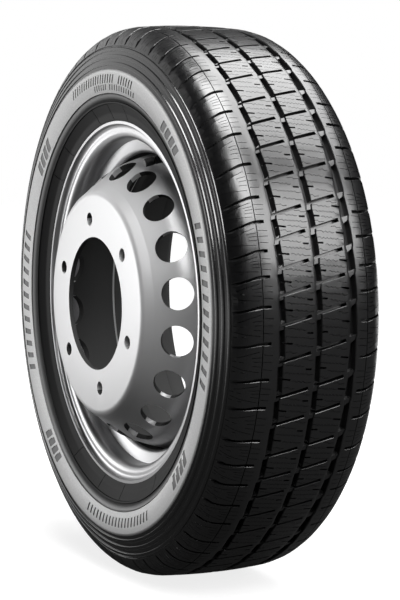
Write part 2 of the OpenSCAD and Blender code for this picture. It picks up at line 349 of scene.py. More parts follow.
# Sipes of a shoulder, lines of (y, share of the pitch) points
SHOULDER_SIPES = (
    [(-64.1, 0.29), (-53.6, 0.32)], [(-64.1, 0.50), (-54, 0.50)], [(-64.1, 0.70), (-54, 0.73)],
    [(-76, 0.40), (-66.5, 0.37)], [(-74, 0.50), (-66.5, 0.49)], [(-75, 0.62), (-66.5, 0.63)],
    [(-89, 0.43), (-84, 0.37), (-78, 0.30), (-68, 0.21)],
    [(-91, 0.70), (-84, 0.75), (-76, 0.77), (-68, 0.79)],
    [(-91.5, 0.54), (-83, 0.54)], [(-91.5, 0.84), (-82, 0.83)])

# Groups of bars on the band: angles of their middles, bars in a group, step and half width, radii,
# lean, depth, width of the sloping walls, and rounding
BAR_GROUPS, BARS_IN_GROUP = (41.2, 131.2, 221.2, 311.2), 4
BAR_STEP, BAR_HALF = 13.7, 5.3
BAR_LOW, BAR_HIGH, BAR_LEAN = 257.8, 273.6, 5.2
BAR_DEPTH, BAR_SLOPE, BAR_ROUNDING = 0.5, 0.8, 1.6
# Rows of strokes: angle of the first, number, inner and outer radius, step and width of a stroke
STROKES = (
    (66.4, 12, 259.8, 275.6, 16.3, 7.0), (246.4, 12, 259.8, 275.6, 16.3, 7.0),
    (337.9, 18, 265.8, 276.4, 7.15, 2.9), (7.6, 6, 265.8, 276.4, 7.15, 2.9),
    (351.9, 6, 257.4, 264.2, 6.6, 2.4), (1.7, 11, 257.4, 264.2, 7.1, 2.4),
    (154.6, 20, 261.0, 272.4, 9.4, 3.6))
# Lean of a stroke as a share of its length, depth, and width of the sloping walls
STROKE_LEAN, STROKE_DEPTH, STROKE_SLOPE = 0.28, 0.9, 0.35
# Angles of the fine lines across the bead, and the side that each one bends to
BEAD_LINES = ((-50.7, 1), (-38.6, 1), (-14.4, 1), (-3.7, 1), (6.7, 1), (48.3, 1), (69, 1), (77.8, 1),
              (127.4, -1), (152.5, -1), (176.4, -1), (191.7, -1), (210.8, -1))
# Shape of such a line, (radius, bend), its half width and depth
BEAD_LINE = ((240.6, 0), (232, 0), (228, 1.2), (224.6, 3.4), (222.4, 5.8))
BEAD_LINE_HALF, BEAD_LINE_DEPTH = 0.55, 0.8

# Steps of the lathe for each pitch, and angle in degrees over which the tyre's edges stay sharp
TYRE_STEPS, TYRE_SMOOTH = 2, 28.0
# Roundings up to this one are left out of the inboard half, and step of the crown's points
SMALL_ROUNDING, CROWN_STEP = 5, 15

# Share of the band's painted sheen in the recess, on the floors of bars and strokes, and on their walls
RECESS_PAINTED_SHEEN, FLOOR_PAINTED_SHEEN, WALL_PAINTED_SHEEN = 0.07, 0.18, 0.1
# Faces deeper than SHALLOW are in a bar, and those that face outboard more than FLAT are its floor
SHALLOW, FLAT = 0.2, 0.93


def between(table, x):
    """The value at x on a line through a table's points."""
    for (x0, y0), (x1, y1) in zip(table, table[1:]):
        if x <= x1:
            break
    return y0 + (y1 - y0) * (x - x0) / (x1 - x0)


def tread_surface(y):
    """Radius of the tread and shoulder at a place along the axis."""
    y = abs(y)
    if y <= CROWN_END:
        return TREAD_R - CROWN_DROP * (y / CROWN_END) ** CROWN_POWER
    return between(SHOULDER, y)


def on_tread(y, u, height):
    angle = u / TREAD_R
    radius = (tread_surface(y) + height) * MM
    return Vector((radius * math.sin(angle), (y + MIDDLE) * MM, radius * math.cos(angle)))


def on_side(r, u, height):
    """A point over the outboard sidewall, with the way round measured at BAND_R."""
    angle = u / BAND_R
    y = MIDDLE - between(SIDE, r) - height
    return Vector((r * math.sin(angle), y, r * math.cos(angle))) * MM


def trench(bm, left, right, levels, ring=False, surface=on_tread):
    """A closed solid between two lines of (point, way) pairs that goes down through levels. A level
    is (height over the surface, step of the left line, step of the right line), the steps taken
    along each point's way, and its height may be a list for the points. A ring joins its ends."""
    count = len(left)
    tag = bm.verts.layers.int.get("place") or bm.verts.layers.int.new("place")
    verts = bmesh.ops.create_grid(bm, x_segments=count - 1, y_segments=1, size=1)["verts"]
    for i, vert in enumerate(verts):
        vert[tag] = i
    faces = list({face for vert in verts for face in vert.link_faces})
    for step, (height, left_step, right_step) in enumerate(levels):
        if step:
            under = faces
            made = bmesh.ops.extrude_face_region(bm, geom=faces)["geom"]
            verts = [g for g in made if isinstance(g, bmesh.types.BMVert)]
            faces = [g for g in made if isinstance(g, bmesh.types.BMFace)]
            if step > 1:
                bmesh.ops.delete(bm, geom=under, context="FACES")
        for vert in verts:
            i = vert[tag]
            line, shift = (left, left_step) if i < count else (right, right_step)
            (y, u), (dy, du) = line[i % count]
            rise = height[i % count] if isinstance(height, list) else height
            vert.co = surface(y + dy * shift, u + du * shift, rise)
    if ring:
        ends = [f for f in bm.faces if all(v[tag] % count == 0 for v in f.verts)
                or all(v[tag] % count == count - 1 for v in f.verts)]
        bmesh.ops.delete(bm, geom=ends, context="FACES")
        bmesh.ops.remove_doubles(bm, verts=bm.verts, dist=1e-6)


def along(path, half):
    """The two sides of a path of (y, u) points, each with the way it grows."""
    left, right = [], []
    for i, (y, u) in enumerate(path):
        y0, u0 = path[max(i - 1, 0)]
        y1, u1 = path[min(i + 1, len(path) - 1)]
        length = math.hypot(y1 - y0, u1 - u0)
        way = ((u1 - u0) / length, -(y1 - y0) / length)
        w = half[i] if isinstance(half, list) else half
        left.append(((y - way[0] * w, u - way[1] * w), (-way[0], -way[1])))
        right.append(((y + way[0] * w, u + way[1] * w), way))
    return left, right


def slit(bm, path, half, depth, chamfer=0.0, taper=0.0, surface=on_tread):
    """A cut along a path, its edges chamfered and its walls leaning in by the taper."""
    left, right = along(path, half)
    if chamfer:
        wide = 2 * chamfer + OVER
        levels = [(chamfer + OVER, wide, wide), (-chamfer, 0, 0)]
    else:
        levels = [(OVER, 0, 0)]
    floor = [-d for d in depth] if isinstance(depth, list) else -depth
    levels.append((floor, -taper, -taper))
    trench(bm, left, right, levels, surface=surface)


def lean_line(y):
    """Middle line of the leaning cross grooves, as the way round from the shoulder slot."""
    return 9.7 - 0.258 * y


def flip(path, turn):
    """The same path at the tread's other side: the tread is the same turned end for end."""
    return [(-y, turn - u) for y, u in path]


def block_turn(pitch):
    """The turn that takes a path in one row of blocks to the other row."""
    return 2 * lean_line(0) - pitch


def zigzag(start, end, lead_in, lead_out, teeth):
    """A sipe from start to end: straight, then teeth, then straight."""
    path = [start]
    (y0, u0), (y1, u1) = start, end
    slope = (u1 - u0) / (y1 - y0)
    first, last = y0 + lead_in, y1 - lead_out
    for i in range(2 * teeth):
        y = first + (last - first) * (i + 0.5) / (2 * teeth)
        path.append((y, u0 + slope * (y - y0) + (TOOTH if i % 2 else -TOOTH)))
    path.append(end)
    return path


def block_sipes(pitch):
    """Sipes of one block of the outboard row, from the shoulder slot, for the pitch before it."""
    middle = lean_line(BLOCK_Y) - pitch / 2 + SIPE_SHIFT

    def point(y, rank):
        return y, middle + SIPE_SLOPE * (y - BLOCK_Y) + rank * RANK_SHARE * pitch

    return [
        zigzag(point(start, rank), point(end, rank), lead_in, lead_out, teeth)
        for start, end, rank, lead_in, lead_out, teeth in BLOCK_SIPES]


def groove_sides(groove, before):
    """Left and right (y, u) corners of a main groove for one pitch, from the last junction on."""
    return [[(y0, u0 - before), (y1, u1)] for y0, u0, y1, u1 in groove]


def each_pitch():
    """(middle of the slot on the way round, letter before, letter here) of each pitch."""
    place = FIRST_PITCH / 360 * TURN
    for i, letter in enumerate(PITCHES):
        yield place, PITCHES[i - 1], letter
        place += SHARE[letter] * UNIT


def ring_groove(groove):
    """A main groove all round, with its leaning edges and chamfers, down to the tie bars."""
    bm = bmesh.new()
    left, right = [], []
    for place, before, _ in each_pitch():
        sides = groove_sides(groove, SHARE[before] * UNIT)
        left += [((y, u + place), (-1, 0)) for y, u in sides[0]]
        right += [((y, u + place), (1, 0)) for y, u in sides[1]]
    for side in (left, right):
        (y, u), way = side[0]
        side.append(((y, u + TURN), way))
    trench(bm, left, right, GROOVE_LEVELS, ring=True)
    return bm


def spread(maker, key):
    """Builds a set of cutters once for each kind of pitch and sets it at every slot round the tyre.
    The key says which pitch gives the kind: the one "before" the slot or the one from "here" on."""
    whole = bmesh.new()
    kept = {}
    for place, before, here in each_pitch():
        letter = before if key == "before" else here
        if letter not in kept:
            one = bmesh.new()
            maker(one, SHARE[letter] * UNIT)
            kept[letter] = meshed("pitch", one)
        turn = round_wheel(math.degrees(place / TREAD_R))
        kept[letter].transform(turn)
        whole.from_mesh(kept[letter])
        kept[letter].transform(turn.inverted())
    for mesh in kept.values():
        bpy.data.meshes.remove(mesh)
    return whole


def deep_parts(bm, pitch):
    """The deep stretch of each main groove between two tie bars."""
    depth = bpy.context.scene.tyre_settings.groove_depth / MM
    for groove in GROOVES:
        sides = []
        for ((y0, u0), (y1, u1)), way in zip(groove_sides(groove, pitch), (-1, 1)):
            sides.append([((y0, u0 + DEEP_INSET), (way, 0)), ((y1, u1 - DEEP_INSET), (way, 0))])
        left, right = sides
        trench(bm, left, right, [DEEP_START, (-depth, DEEP_TAPER, DEEP_TAPER)])


def wide_cuts(bm, pitch):
    """Cross grooves and notches of one pitch."""
    for places in CROSS_GROOVES:
        path = [(y, lean_line(y)) for y in places]
        slit(bm, path, CROSS_HALVES, CROSS_DEPTH, CROSS_CHAMFER, CROSS_TAPER)
    for y0, y1, rise, shift in NOTCHES:
        middle = lean_line((y0 + y1) / 2) + shift - pitch / 2
        path = [(y0, middle - rise / 2), (y1, middle + rise / 2)]
        for notch in (path, flip(path, block_turn(pitch))):
            slit(bm, notch, NOTCH_HALF, NOTCH_DEPTH, taper=NOTCH_TAPER)


def slots(bm, _pitch):
    """A slot in each shoulder, which is the same for every pitch."""
    for path in (SLOT, flip(SLOT, SHOULDER_TURN)):
        slit(bm, path, SLOT_HALVES, SLOT_DEPTHS, SLOT_CHAMFER, SLOT_TAPER)


def sipe(bm, path):
    """A fine cut of the width and depth that the settings give."""
    settings = bpy.context.scene.tyre_settings
    slit(bm, path, settings.sipe_width / MM / 2, settings.sipe_depth / MM)


def fine_cuts_blocks(bm, pitch):
    for path in block_sipes(pitch):
        sipe(bm, path)
        sipe(bm, flip(path, block_turn(pitch)))


def fine_cuts_shoulders(bm, pitch):
    for points in SHOULDER_SIPES:
        path = [(y, share * pitch) for y, share in points]
        sipe(bm, path)
        sipe(bm, flip(path, SHOULDER_TURN))


# Cutters that repeat with the pitches, and the pitch that each set takes its length from
PITCH_CUTTERS = (
    (deep_parts, "before"), (wide_cuts, "before"), (slots, "here"), (fine_cuts_blocks, "before"),
    (fine_cuts_shoulders, "here"))


def side_y(r):
    """Place along the axis of the plain upper sidewall at a radius."""
    past = r - UPPER_R
    return UPPER_Y + UPPER_SLOPE * past + UPPER_CURVE * past ** 2


def raised_ring(r, width):
    """Corners of a ring that stands out of the upper sidewall."""
    low, high = r - width / 2, r + width / 2
    foot_low, foot_high = low - RING_FOOT, high + RING_FOOT
    return [
        (foot_low, side_y(foot_low), 0), (low, side_y(low) - RING_RISE, RING_FOOT),
        (high, side_y(high) - RING_RISE, RING_FOOT), (foot_high, side_y(foot_high), 0)]


def tyre_outline():
    """The whole section of the tyre: outboard side, crown, inboard side and the inside."""
    bead = [
        (TOE_R, -TOE_Y, 0), (SEAT_R, -SEAT_Y, 6.5), (FLANGE_R, -SEAT_Y, 9.5),
        (FLANGE_R, -LIP_Y + 0.4, 0), (FLANGE_R + 2, -LIP_Y - 0.4, 1), (230, -88.2, 12), (241, -94, 0),
        (241.6, -95.4, 0), (243.2, -95.8, 0), (243.8, -94.8, 0), (252.2, -98.1, 0), (252.7, -97.3, 0),
        (253.3, -97.6, 0)]
    band = [
        (253.9, -99.4, 0), (259, -100.7, 20), (266, -101.8, 40), (274, -102, 40), (280, -101.8, 6),
        (BAND_HIGH, side_y(BAND_HIGH), 0)]
    rings = [corner for r, width in RINGS for corner in raised_ring(r, width)]
    edge = [
        (310, side_y(310), 0), (310.8, -92.1, 0), (318.4, -88, 0), (323.3, -83.5, 0), (327.5, -78, 0),
        (330.9, -71.4, 0), (332.4, -65.7, 0), (329, -65.6, 0), (329, -64.8, 0), (332.6, -64.7, 0)]
    half = bead + band + rings + edge
    far_half = [(r, y, radius if radius > SMALL_ROUNDING else 0) for r, y, radius in half]
    crown = [(tread_surface(y), y, 0) for y in range(-CROWN_END, CROWN_END + 1, CROWN_STEP)]
    inner = [
        (318, 0, 0), (317, -40, 0), (314, -62, 0), (305, -80, 0), (290, -90.5, 0), (268, -95.5, 30),
        (250, -92, 0), (226, -72, 0), (209, -60, 0), (TOE_R, -TOE_Y, 0)]
    outside = rounded(half + crown + mirrored(far_half))
    return outside + rounded(mirrored(inner))[1:] + rounded(inner)[1:-1]


def pocket(whole, low, high, from_u, to_u, lean, depth, slope, corner=0.0):
    """A shallow recess in the sidewall between two radii, leaning, with sloping walls."""
    bm = bmesh.new()
    verts = bmesh.ops.create_grid(bm, x_segments=3, y_segments=1, size=1)["verts"]
    for vert in verts:
        out, way = (vert.co.x + 1) / 2, (vert.co.y + 1) / 2
        u = from_u + (to_u - from_u) * way + lean * (out - 0.5)
        vert.co = (low + (high - low) * out, u, 1)
    if corner:
        ends = [vert for vert in verts if len(vert.link_edges) == 2]
        bmesh.ops.bevel(
            bm, geom=ends, offset=corner, offset_type="OFFSET", affect="VERTICES", segments=3, profile=0.5,
            material=-1)
    made = bmesh.ops.extrude_face_region(bm, geom=bm.faces[:])["geom"]
    floor = [g for g in made if isinstance(g, bmesh.types.BMFace)]
    for vert in {v for face in floor for v in face.verts}:
        vert.co.z = 0
    bmesh.ops.inset_region(bm, faces=floor, thickness=slope, use_even_offset=True)
    for vert in {v for face in floor for v in face.verts}:
        vert.co.z = -depth
    for vert in bm.verts:
        vert.co = on_side(*vert.co)
    bmesh.ops.recalc_face_normals(bm, faces=bm.faces)
    mesh = meshed("pocket", bm)
    whole.from_mesh(mesh)
    bpy.data.meshes.remove(mesh)


def band_marks():
    """Groups of bars on the band, and rows of slanted strokes between them."""
    bm = bmesh.new()
    degree = math.radians(1) * BAND_R
    for middle in BAR_GROUPS:
        for i in range(BARS_IN_GROUP):
            u = middle * degree + (i - (BARS_IN_GROUP - 1) / 2) * BAR_STEP
            pocket(
                bm, BAR_LOW, BAR_HIGH, u - BAR_HALF, u + BAR_HALF, BAR_LEAN, BAR_DEPTH, BAR_SLOPE,
                BAR_ROUNDING)
    for start, count, low, high, step, width in STROKES:
        for i in range(count):
            u = start * degree + i * step
            pocket(bm, low, high, u, u + width, STROKE_LEAN * (high - low), STROKE_DEPTH, STROKE_SLOPE)
    return bm


def bead_lines():
    bm = bmesh.new()
    for angle, side in BEAD_LINES:
        u = math.radians(angle) * BAND_R
        path = [(r, u + bend * side) for r, bend in BEAD_LINE]
        slit(bm, path, BEAD_LINE_HALF, BEAD_LINE_DEPTH, surface=on_side)
    return bm


def mark_painted_sheen_faces(mesh):
    """Keeps how much of the band's painted sheen the rubber has on each face: 1 on the band, less in its
    bars and strokes and in the recess inside it, and 0 elsewhere."""
    light = mesh.attributes.new("light", "FLOAT", "FACE")
    for face in mesh.polygons:
        x, y, z = face.center / MM
        r, out = math.hypot(x, z), MIDDLE - y
        if out < 0 or not RECESS_LOW < r < BAND_HIGH:
            continue
        # Painted sheen: the recess gets a little of the band's light colour, the bars and strokes less than
        # the band, their walls least
        if r < BAND_LOW:
            shade = RECESS_PAINTED_SHEEN
        elif between(SIDE, r) - out < SHALLOW:
            shade = 1
        else:
            shade = FLOOR_PAINTED_SHEEN if face.normal.y < -FLAT else WALL_PAINTED_SHEEN
        light.data[face.index].value = shade


class MakeTyre(bpy.types.Operator):
    """Moulds the tyre: sidewalls, grooves, blocks, notches, shoulder slots and sipes"""
    bl_idname = "van_wheel.make_tyre"
    bl_label = "Tyre"

    def execute(self, context):
        body = lathe(tyre_outline(), TYRE_STEPS * len(PITCHES))
        cutters = [ring_groove(groove) for groove in GROOVES]
        cutters += [spread(maker, key) for maker, key in PITCH_CUTTERS]
        cutters += [band_marks(), bead_lines()]
        mesh = carved("tyre_moulding", body, cutters)
        mark_painted_sheen_faces(mesh)
        obj = dressed("tyre_moulding", mesh, rubber_material(), TYRE_SMOOTH)
        belongs(obj, "wheel", "tyre")
        return {"FINISHED"}


# Materials

# Radii in metres between which the rubber changes: from the bead to the sidewall, from the sidewall
# to the tread, and over the soft outer edge of the band's painted sheen
BEAD_EDGE = (0.246, 0.25)
TREAD_EDGE = (0.318, 0.328)
BAND_EDGE = (0.2828, 0.2792)
# Roughness of the sidewall and the tread, and what the bead and the band add to it
SIDE_ROUGHNESS, TREAD_ROUGHNESS, BEAD_ADDS, BAND_ADDS = 0.2, 0.3, 0.25, 0.3
# Specular level of the black rubber and of the band, and the bead's share of it
RUBBER_SPECULAR, BAND_SPECULAR, BEAD_SHARE = 0.8, 0.4, 0.08
# Light from which on the rubber has the band's whole finish
BAND_START = 0.1
# Mottling of the band: scale, range of the noise, and how light its darkest places stay
GRAIN, GRAIN_RANGE, GRAIN_DARKEST = 500, (0.3, 0.7), 0.85
# Roughness, share of metal and specular level of the wheel's inner side, and the outer side's level
INNER_ROUGHNESS, INNER_METAL, INNER_SPECULAR = 0.7, 0.0, 0.15
OUTER_SPECULAR = 0.5
# A face belongs to the inner side where its normal turns this far towards the axle or inboard
TURNED_IN = 0.3


def new_material(name):
    material = bpy.data.materials.new(name)
    material.use_nodes = True
    shader = material.node_tree.nodes["Principled BSDF"]
    return material, material.node_tree, shader


def add(tree, kind, **values):
    node = tree.nodes.new(kind)
    for key, value in values.items():
        setattr(node, key, value)
    return node


def ramp(tree, value, low, high, to_low=0.0, to_high=1.0, form="LINEAR"):
    """A value's change from one range to another, which stops at both ends."""
    node = add(tree, "ShaderNodeMapRange", interpolation_type=form)
    for name, number in (("From Min", low), ("From Max", high), ("To Min", to_low), ("To Max", to_high)):
        node.inputs[name].default_value = number
    tree.links.new(value, node.inputs["Value"])
    return node.outputs["Result"]


def combined(tree, operation, a, b):
    node = add(tree, "ShaderNodeMath", operation=operation)
    tree.links.new(a, node.inputs[0])
    tree.links.new(b, node.inputs[1])
    return node.outputs[0]


def mixed_colour(tree, factor, a, b):
    """Colour a where the factor is 0, and colour b where it is 1."""
    mix = add(tree, "ShaderNodeMix", data_type="RGBA")
    mix.inputs["A"].default_value = (*a, 1)
    mix.inputs["B"].default_value = (*b, 1)
    tree.links.new(factor, mix.inputs["Factor"])
    return mix.outputs["Result"]


def vector_length(tree, vector):
    node = add(tree, "ShaderNodeVectorMath", operation="LENGTH")
    tree.links.new(vector, node.inputs[0])
    return node.outputs["Value"]


def rubber_material():
    """Black rubber with the band's painted sheen, a dull bead, glossy sidewalls and a rougher tread."""
    settings = bpy.context.scene.tyre_settings
    material, tree, shader = new_material("tyre_rubber")
    place = add(tree, "ShaderNodeTexCoord").outputs["Object"]
    flat = add(tree, "ShaderNodeVectorMath", operation="MULTIPLY")
    flat.inputs[1].default_value = (1, 0, 1)
    tree.links.new(place, flat.inputs[0])
    radius = vector_length(tree, flat.outputs[0])
    light = add(tree, "ShaderNodeAttribute", attribute_name="light").outputs["Fac"]
    # Painted sheen: the light attribute and the band's edge mix the band's light colour into the black
    # rubber
    factor = combined(tree, "MULTIPLY", light, ramp(tree, radius, *BAND_EDGE))
    grain = add(tree, "ShaderNodeTexNoise")
    grain.inputs["Scale"].default_value = GRAIN
    tree.links.new(place, grain.inputs["Vector"])
    mottling = ramp(tree, grain.outputs["Fac"], *GRAIN_RANGE, GRAIN_DARKEST, 1.0)
    mottled = combined(tree, "MULTIPLY", factor, mottling)
    tree.links.new(mixed_colour(tree, mottled, settings.rubber, settings.band), shader.inputs["Base Color"])
    tread = ramp(tree, radius, *TREAD_EDGE, SIDE_ROUGHNESS, TREAD_ROUGHNESS)
    bead = ramp(tree, radius, *BEAD_EDGE, BEAD_ADDS, 0.0)
    band = ramp(tree, factor, 0, BAND_START, 0, BAND_ADDS)
    roughness = combined(tree, "ADD", combined(tree, "ADD", tread, bead), band)
    tree.links.new(roughness, shader.inputs["Roughness"])
    dull_bead = ramp(tree, radius, *BEAD_EDGE, BEAD_SHARE, 1.0)
    dull_band = ramp(tree, factor, 0, BAND_START, RUBBER_SPECULAR, BAND_SPECULAR)
    tree.links.new(combined(tree, "MULTIPLY", dull_band, dull_bead), shader.inputs["Specular IOR Level"])
    return material


def plain_material(name, colour, roughness, metallic):
    material, _, shader = new_material(name)
    shader.inputs["Base Color"].default_value = (*colour, 1)
    shader.inputs["Roughness"].default_value = roughness
    shader.inputs["Metallic"].default_value = metallic
    return material


def paint_material(name, colour, roughness, metallic):
    """Silver paint, duller on the faces marked as the wheel's inner side and far darker there: painted shade
    for the dark inside of the wheel.
    """
    settings = bpy.context.scene.wheel_settings
    material, tree, shader = new_material(name)
    inner = add(tree, "ShaderNodeAttribute", attribute_name="inner").outputs["Fac"]
    # Painted shade: the faces marked as the inner side take the far darker inner colour
    tree.links.new(mixed_colour(tree, inner, colour, settings.inner_painted_shade), shader.inputs["Base Color"])
    for socket, outside, inside in (
            ("Roughness", roughness, INNER_ROUGHNESS), ("Metallic", metallic, INNER_METAL),
            ("Specular IOR Level", OUTER_SPECULAR, INNER_SPECULAR)):
        tree.links.new(ramp(tree, inner, 0, 1, outside, inside), shader.inputs[socket])
    return material


def mark_inner_faces(mesh, from_y):
    """Marks the faces that look at the axle or the brake, from a distance from the mounting face on, for the
    painted shade of the wheel's inside.
    """
    inner = mesh.attributes.new("inner", "FLOAT", "FACE")
    for face in mesh.polygons:
        way = Vector((face.center.x, 0, face.center.z)).normalized()
        hidden = face.normal.dot(way) < -TURNED_IN or face.normal.y > TURNED_IN
        if hidden and max(mesh.vertices[i].co.y for i in face.vertices) > from_y * MM:
            inner.data[face.index].value = 1


# Rim and disc

# Disc's thickness, end of its skirt, and its outboard outline as (radius, y, rounding) corners
DISC_T = 6.0
SKIRT_END = -16.0
DISC_CORNERS = [
    (80.5, -118, 0), (134, -118, 10), (143, -105.2, 8), (166.5, -77.2, 50), (176.8, -48, 40),
    (182.1, -29, 40), (182.1, SKIRT_END, 0)]
# Hand holes: first angle in degrees, place in the side wall, its tilt, radius, length and
# segments of their cutters, and their bevels
HAND_HOLE_START = 2
HAND_HOLE_Y, HAND_HOLE_AT_R = -84, 161
HAND_HOLE_TILT = math.radians(40)
HAND_HOLE_R, HAND_HOLE_LENGTH, HAND_HOLE_SEGMENTS = 19.0, 40, 64
BEVEL_RISE, BEVEL_LOW_R, BEVEL_HIGH_R, BEVEL_LENGTH = 1.6, 18.0, 24.2, 6.0
# Stud holes: number, first angle in degrees, place, radius, length and segments of their cutters
STUDS, STUD_START = 6, -8
STUD_Y, STUD_AT_R = -115, 102.5
STUD_R, STUD_LENGTH, STUD_SEGMENTS = 8.1, 30, 48
# Length and segments of the cutter for the valve's hole
VALVE_HOLE_LENGTH, VALVE_HOLE_SEGMENTS = 20, 40
# Roughness and share of metal of the silver paint on the rim, on the disc and on the weld
RIM_FINISH, DISC_FINISH, WELD_FINISH = (0.28, 0.8), (0.4, 0.5), (0.4, 0.6)


def wall_y(r):
    """Place along the axis of the drop centre's outboard wall at a radius."""
    return -WELL_Y - (r - WELL_R) * math.tan(WALL_LEAN)


def rim_corners():
    half = [
        (FLANGE_R, -LIP_Y, 0), (FLANGE_R, -SEAT_Y, 9.5), (SEAT_R, -SEAT_Y, 6.5), (TOE_R, -TOE_Y, 0),
        (SEAT_R - 0.9, -55.8, 2)]
    well = [(TOE_R, wall_y(TOE_R), 3), (WELL_R, -WELL_Y, 2.5), (WELL_R, -8, 14), (SEAT_R - 4, 9, 14)]
    return half + well + mirrored(half)


def valve_place():
    """The valve's place in the rim's wall, with Z along its stem."""
    return on_ring(VALVE_ANGLE, wall_y(VALVE_R), VALVE_R, math.radians(90) + WALL_LEAN)


class MakeRim(bpy.types.Operator):
    """Rolls the rim and cuts the hole for the valve"""
    bl_idname = "van_wheel.make_rim"
    bl_label = "Rim"

    def execute(self, context):
        settings = context.scene.wheel_settings
        hole = bmesh.new()
        drill(hole, valve_place(), VALVE_HOLE_R, VALVE_HOLE_R, VALVE_HOLE_LENGTH, VALVE_HOLE_SEGMENTS)
        mesh = carved("rim_shell", lathe(sheet_outline(rim_corners(), RIM_T), settings.steps), [hole])
        mark_inner_faces(mesh, MIDDLE + SKIRT_END)
        # The rim's darker paint colour is painted shade
        obj = dressed("rim_shell", mesh, paint_material("rim_paint_shaded", settings.rim_paint_shaded, *RIM_FINISH))
        belongs(obj, "wheel", "rim")
        return {"FINISHED"}


class MakeDisc(bpy.types.Operator):
    """Presses the disc with its hand holes and stud holes"""
    bl_idname = "van_wheel.make_disc"
    bl_label = "Disc"

    def execute(self, context):
        settings = context.scene.wheel_settings
        holes, bevels, studs = bmesh.new(), bmesh.new(), bmesh.new()
        for i in range(settings.hand_holes):
            angle = HAND_HOLE_START + i * 360 / settings.hand_holes
            place = on_ring(angle, HAND_HOLE_Y, HAND_HOLE_AT_R, HAND_HOLE_TILT)
            drill(holes, place, HAND_HOLE_R, HAND_HOLE_R, HAND_HOLE_LENGTH, HAND_HOLE_SEGMENTS)
            raised = place @ Matrix.Translation((0, 0, BEVEL_RISE * MM))
            drill(bevels, raised, BEVEL_LOW_R, BEVEL_HIGH_R, BEVEL_LENGTH, HAND_HOLE_SEGMENTS)
        for i in range(STUDS):
            place = on_ring(STUD_START + i * 360 / STUDS, STUD_Y, STUD_AT_R, math.radians(90))
            drill(studs, place, STUD_R, STUD_R, STUD_LENGTH, STUD_SEGMENTS)
        body = lathe(sheet_outline(DISC_CORNERS, DISC_T), settings.steps)
        mesh = carved("disc_pressing", body, [holes, bevels, studs])
        mark_inner_faces(mesh, -DISC_T / 2)
        obj = dressed("disc_pressing", mesh, paint_material("disc_paint", settings.paint, *DISC_FINISH))
        belongs(obj, "wheel", "disc")
        return {"FINISHED"}


# Small pieces

# Finish of the spring: colour, roughness and share of metal, and angle over which its edges stay sharp
STEEL = ((0.6, 0.6, 0.62), 0.25, 1.0)
SPRING_SMOOTH = 60.0
# The other finishes: colour, roughness, share of metal, and the nodes that keep their shape and have it
FINISHES = {
    "valve_rubber": ((0.012, 0.012, 0.012), 0.45, 0.0, ("valve_body",)),
    "cap_plastic": ((0.014, 0.014, 0.014), 0.35, 0.0, ("valve_cap",)),
    "brass": (
        (0.72, 0.52, 0.25), 0.3, 1.0, ("valve_stem", "core_plug", "core_barrel", "core_pin", "core_cup")),
    "seal_rubber": ((0.03, 0.03, 0.03), 0.6, 0.0, ("core_gasket", "core_seal", "cap_seal")),
}


def finish_node(node, material):
    """Gives a CAD node its material, in every slot that it has."""
    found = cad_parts[node].material_slots
    if not found:
        raise RuntimeError(f"{node} has no material slot")
    for slot in found:
        slot.material = material


class MakeSpring(bpy.types.Operator):
    """Winds the spring of the valve core"""
    bl_idname = "van_wheel.make_spring"
    bl_label = "Core spring"

    def execute(self, context):
        bm = bmesh.new()
        start = Matrix.Translation(Vector((COIL_R, 0, SPRING_LOW + WIRE_R)) * MM)
        turned = start @ Matrix.Rotation(math.radians(90), 4, "X")
        bmesh.ops.create_circle(bm, segments=WIRE_SIDES, radius=WIRE_R * MM, matrix=turned)
        steps = SPRING_TURNS * STEPS_IN_TURN
        rise = (SPRING_HIGH - SPRING_LOW - 2 * WIRE_R) * MM / steps
        bmesh.ops.spin(
            bm, geom=bm.verts[:] + bm.edges[:], cent=(0, 0, 0), axis=(0, 0, 1), dvec=(0, 0, rise),
            angle=math.radians(360 * SPRING_TURNS), steps=steps, use_merge=False, use_duplicate=False)
        bmesh.ops.holes_fill(bm, edges=bm.edges, sides=WIRE_SIDES)
        place = valve_place() @ Matrix.Translation((0, 0, STEM_TOP * MM))
        bmesh.ops.transform(bm, matrix=place, verts=bm.verts)
        obj = piece("core_spring_wire", bm, plain_material("spring_steel", *STEEL), SPRING_SMOOTH)
        belongs(obj, "wheel", "core_spring")
        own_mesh(obj)
        return {"FINISHED"}


class FinishNodes(bpy.types.Operator):
    """Gives the pieces that keep their shape their finished materials"""
    bl_idname = "van_wheel.finish_nodes"
    bl_label = "Small pieces"

    def execute(self, context):
        for name, (colour, roughness, metallic, nodes) in FINISHES.items():
            material = plain_material(name, colour, roughness, metallic)
            for node in nodes:
                finish_node(node, material)
        weld = paint_material("weld_paint", context.scene.wheel_settings.paint, *WELD_FINISH)
        finish_node("disc_weld", weld)
        return {"FINISHED"}


# Stage

# Camera: angle round the wheel, rise, lens and sensor in mm, and far limit and place in metres
CAMERA_TURN = math.radians(63.48)
CAMERA_RISE = math.radians(4.87)
CAMERA_LENS, CAMERA_SENSOR, CAMERA_FAR = 117.78, 36, 100
CAMERA_PLACE = (2.1754, -0.9490, 0.2060)
# Soft boxes: direction from the wheel's middle, distance and size in metres
LAMPS = {
    "top": ((0.15, -0.06, 0.98), 2.4, (1.3, 1.3)),
    "back": ((-0.02, 0.44, 0.88), 2.4, (2.4, 1.3)),
    "tail": ((0.79, 0.38, 0.48), 2.4, (1.5, 1.2)),
    "side": ((0.7, -0.2, 0.67), 2.4, (1.4, 1.2)),
    "front": ((-0.7, -0.71, 0.03), 1.5, (1.0, 0.65)),
}
# Direction in which reflections see the white background, and where it starts and is full
BACKGROUND_WAY = Vector((-0.92, -0.4, 0.02)).normalized()
BACKGROUND_EDGE = (0.6, 0.97)
# Floor in metres: half its width, gap under the tyre, distances between which its glow grows to
# full white, and places along X between which reflections come to see it
FLOOR_HALF, FLOOR_GAP = 12, 0.0005
GLOW_EDGE = (0.5, 1.6)
BEHIND_EDGE = (-0.2, -0.8)
# Colour of the floor for all but the camera, and share of its glow in reflections before that edge
DARK_FLOOR = (0.03, 0.03, 0.03)
SEEN_BEFORE = 0.03


